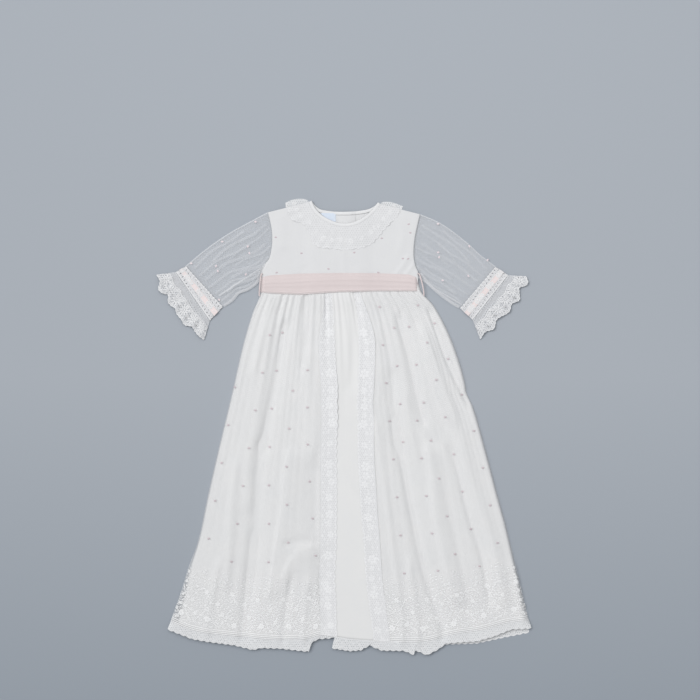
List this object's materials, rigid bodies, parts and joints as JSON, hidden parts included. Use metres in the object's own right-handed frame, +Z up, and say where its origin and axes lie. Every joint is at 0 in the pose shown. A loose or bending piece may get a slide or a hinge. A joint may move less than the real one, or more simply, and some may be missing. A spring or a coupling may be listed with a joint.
{
  "type": "christening gown",
  "caption": "Baby's christening gown laid flat, face up: gathered net skirt over a lining, lace frills, sheer sleeves with lace cuffs and a pink ribbon sash.",
  "frame": {"origin": "on the surface that the gown lies on, below the middle of its laid-out box", "axes": "+Y from the hem towards the neck, +X to the right as seen from the front, +Z up out of the surface"},
  "size_m": [0.598, 0.7286, 0.0101],
  "materials": {
    "white_batiste": "plain white lining cloth, matt",
    "dotted_net": "sheer white net with small pale pink dots",
    "white_lace": "white embroidered lace, matt",
    "pink_ribbon": "thin pale pink ribbon, soft sheen",
    "white_satin": "white satin binding, soft sheen",
    "plain_label": "bare pale blue woven tape",
    "white_thread": "white chained thread",
    "button_shell": "small white shell-like button, polished"
  },
  "bodies": {
    "root": {"bodice_front": "dotted_net", "bodice_back_left": "dotted_net", "bodice_back_right": "dotted_net", "skirt_back": "white_batiste", "skirt_lining_front": "white_batiste", "skirt_net_left": "dotted_net", "skirt_net_right": "dotted_net", "lace_band_left": "white_lace", "lace_band_right": "white_lace", "hem_lace_left": "white_lace", "hem_lace_right": "white_lace", "hem_lace_centre": "white_lace", "hem_lace_back": "white_lace", "sash_front": "pink_ribbon", "sash_back": "pink_ribbon", "belt_loop_left": "white_thread", "belt_loop_right": "white_thread", "neck_binding_front": "white_satin", "neck_binding_back_left": "white_satin", "neck_binding_back_right": "white_satin", "collar_front": "white_lace", "collar_back_left": "white_lace", "collar_back_right": "white_lace", "neck_label": "plain_label", "button_1": "button_shell", "button_2": "button_shell", "button_3": "button_shell", "sleeve_left": "dotted_net", "sleeve_right": "dotted_net", "cuff_band_left": "white_lace", "cuff_band_right": "white_lace", "cuff_frill_left": "white_lace", "cuff_frill_right": "white_lace"}
  },
  "joints": []
}
